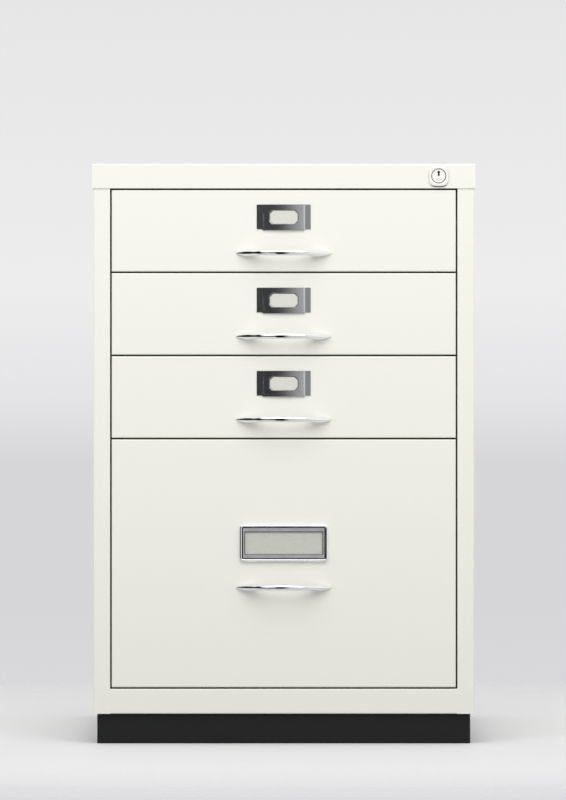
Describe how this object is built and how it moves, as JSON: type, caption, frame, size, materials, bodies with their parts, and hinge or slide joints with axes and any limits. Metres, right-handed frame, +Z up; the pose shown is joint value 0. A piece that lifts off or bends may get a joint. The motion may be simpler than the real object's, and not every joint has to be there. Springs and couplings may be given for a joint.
{
  "type": "steel multi-drawer pedestal cabinet",
  "caption": "Floor-standing steel pedestal with stationery drawers on roller runners over a filing drawer on ball slides, bow handles and one key lock for all drawers.",
  "frame": {"origin": "middle of the carcass on the floor", "axes": "+Z up, +X to the right seen from the front, the drawers face and open towards -Y"},
  "size_m": [0.47, 0.6455, 0.711],
  "materials": {
    "painted_body": "chalk white powder coat, semi-gloss",
    "painted_plinth": "black powder coat, satin",
    "zinc_steel": "bright zinc plate",
    "nickel": "nickel plate",
    "white_enamel": "chalk white enamel, semi-gloss",
    "chrome": "polished chrome plate",
    "label_steel": "bright rolled steel strip",
    "white_plastic": "moulded",
    "nylon": "natural nylon",
    "card": "plain paper card",
    "window_plastic": "clear plastic"
  },
  "bodies": {
    "cabinet": {"side_panel_left": "painted_body", "side_panel_right": "painted_body", "back_panel": "painted_body", "top_cap": "painted_body", "base_pan": "painted_body", "plinth": "painted_plinth", "plinth_screws": "zinc_steel", "runner_uprights": "zinc_steel", "lock_escutcheon": "white_plastic", "lock_barrel": "nickel", "lock_barrel_nut": "nickel", "lock_bar_guides": "nylon", "file_cabinet_runners": "zinc_steel", "drawer_1_cabinet_runners": "zinc_steel", "drawer_2_cabinet_runners": "zinc_steel", "drawer_3_cabinet_runners": "zinc_steel"},
    "drawer_1": {"drawer_1_front": "painted_body", "drawer_1_tray": "painted_body", "drawer_1_handle": "chrome", "drawer_1_handle_screws": "zinc_steel", "drawer_1_label_holder": "label_steel", "drawer_1_label_card": "card", "drawer_1_runners": "zinc_steel"},
    "drawer_1_cabinet_rollers": {"drawer_1_cabinet_rollers": "nylon"},
    "drawer_1_rollers": {"drawer_1_rollers": "nylon"},
    "drawer_2": {"drawer_2_front": "painted_body", "drawer_2_tray": "painted_body", "drawer_2_handle": "chrome", "drawer_2_handle_screws": "zinc_steel", "drawer_2_label_holder": "label_steel", "drawer_2_label_card": "card", "drawer_2_runners": "zinc_steel"},
    "drawer_2_cabinet_rollers": {"drawer_2_cabinet_rollers": "nylon"},
    "drawer_2_rollers": {"drawer_2_rollers": "nylon"},
    "drawer_3": {"drawer_3_front": "painted_body", "drawer_3_tray": "painted_body", "drawer_3_handle": "chrome", "drawer_3_handle_screws": "zinc_steel", "drawer_3_label_holder": "label_steel", "drawer_3_label_card": "card", "drawer_3_runners": "zinc_steel"},
    "drawer_3_cabinet_rollers": {"drawer_3_cabinet_rollers": "nylon"},
    "drawer_3_rollers": {"drawer_3_rollers": "nylon"},
    "file_drawer": {"file_front": "painted_body", "file_tray": "painted_body", "file_handle": "chrome", "file_handle_screws": "zinc_steel", "file_label_frame": "chrome", "file_label_window": "window_plastic", "file_label_card": "card", "file_runners": "zinc_steel", "file_rails": "painted_body"},
    "file_intermediate": {"file_intermediate_runners": "zinc_steel"},
    "file_outer_cages": {"file_outer_cages": "zinc_steel"},
    "file_inner_cages": {"file_inner_cages": "zinc_steel"},
    "lock_plug": {"lock_plug": "white_enamel", "lock_cam": "zinc_steel", "lock_cam_screw": "zinc_steel"},
    "lock_bar": {"lock_bar": "zinc_steel"}
  },
  "joints": [
    {"name": "drawer_1_slide", "type": "slide", "parent": "cabinet", "child": "drawer_1", "axis": [0, -1, 0], "range_m": [0, 0.41]},
    {"name": "drawer_1_cabinet_rollers_turn", "type": "hinge", "parent": "cabinet", "child": "drawer_1_cabinet_rollers", "pos_m": [0, -0.272, 0.608], "axis": [1, 0, 0], "continuous": true},
    {"name": "drawer_1_rollers_turn", "type": "hinge", "parent": "drawer_1", "child": "drawer_1_rollers", "pos_m": [0, 0.254, 0.6028], "axis": [1, 0, 0], "continuous": true},
    {"name": "drawer_2_slide", "type": "slide", "parent": "cabinet", "child": "drawer_2", "axis": [0, -1, 0], "range_m": [0, 0.41]},
    {"name": "drawer_2_cabinet_rollers_turn", "type": "hinge", "parent": "cabinet", "child": "drawer_2_cabinet_rollers", "pos_m": [0, -0.272, 0.506], "axis": [1, 0, 0], "continuous": true},
    {"name": "drawer_2_rollers_turn", "type": "hinge", "parent": "drawer_2", "child": "drawer_2_rollers", "pos_m": [0, 0.254, 0.5008], "axis": [1, 0, 0], "continuous": true},
    {"name": "drawer_3_slide", "type": "slide", "parent": "cabinet", "child": "drawer_3", "axis": [0, -1, 0], "range_m": [0, 0.41]},
    {"name": "drawer_3_cabinet_rollers_turn", "type": "hinge", "parent": "cabinet", "child": "drawer_3_cabinet_rollers", "pos_m": [0, -0.272, 0.404], "axis": [1, 0, 0], "continuous": true},
    {"name": "drawer_3_rollers_turn", "type": "hinge", "parent": "drawer_3", "child": "drawer_3_rollers", "pos_m": [0, 0.254, 0.3988], "axis": [1, 0, 0], "continuous": true},
    {"name": "file_drawer_slide", "type": "slide", "parent": "cabinet", "child": "file_drawer", "axis": [0, -1, 0], "range_m": [0, 0.54]},
    {"name": "file_intermediate_slide", "type": "slide", "parent": "cabinet", "child": "file_intermediate", "axis": [0, -1, 0], "range_m": [0, 0.27]},
    {"name": "file_outer_cages_slide", "type": "slide", "parent": "cabinet", "child": "file_outer_cages", "axis": [0, -1, 0], "range_m": [0, 0.135]},
    {"name": "file_inner_cages_slide", "type": "slide", "parent": "cabinet", "child": "file_inner_cages", "axis": [0, -1, 0], "range_m": [0, 0.405]},
    {"name": "lock_bar_lift", "type": "slide", "parent": "cabinet", "child": "lock_bar", "axis": [0, 0, 1], "range_m": [0, 0.0113]},
    {"name": "lock_turn", "type": "hinge", "parent": "cabinet", "child": "lock_plug", "pos_m": [0.19, -0.311, 0.696], "axis": [0, -1, 0], "range_deg": [0, 90]}
  ],
  "couplings": [
    {"joint": "drawer_1_cabinet_rollers_turn", "follows": "drawer_1_slide", "rad_per_m": 133.33},
    {"joint": "drawer_1_rollers_turn", "follows": "drawer_1_slide", "rad_per_m": 133.33},
    {"joint": "drawer_2_cabinet_rollers_turn", "follows": "drawer_2_slide", "rad_per_m": 133.33},
    {"joint": "drawer_2_rollers_turn", "follows": "drawer_2_slide", "rad_per_m": 133.33},
    {"joint": "drawer_3_cabinet_rollers_turn", "follows": "drawer_3_slide", "rad_per_m": 133.33},
    {"joint": "drawer_3_rollers_turn", "follows": "drawer_3_slide", "rad_per_m": 133.33},
    {"joint": "file_intermediate_slide", "follows": "file_drawer_slide", "ratio": 0.5},
    {"joint": "file_outer_cages_slide", "follows": "file_drawer_slide", "ratio": 0.25},
    {"joint": "file_inner_cages_slide", "follows": "file_drawer_slide", "ratio": 0.75},
    {"joint": "lock_turn", "follows": "lock_bar_lift", "rad_per_m": 138.9}
  ]
}
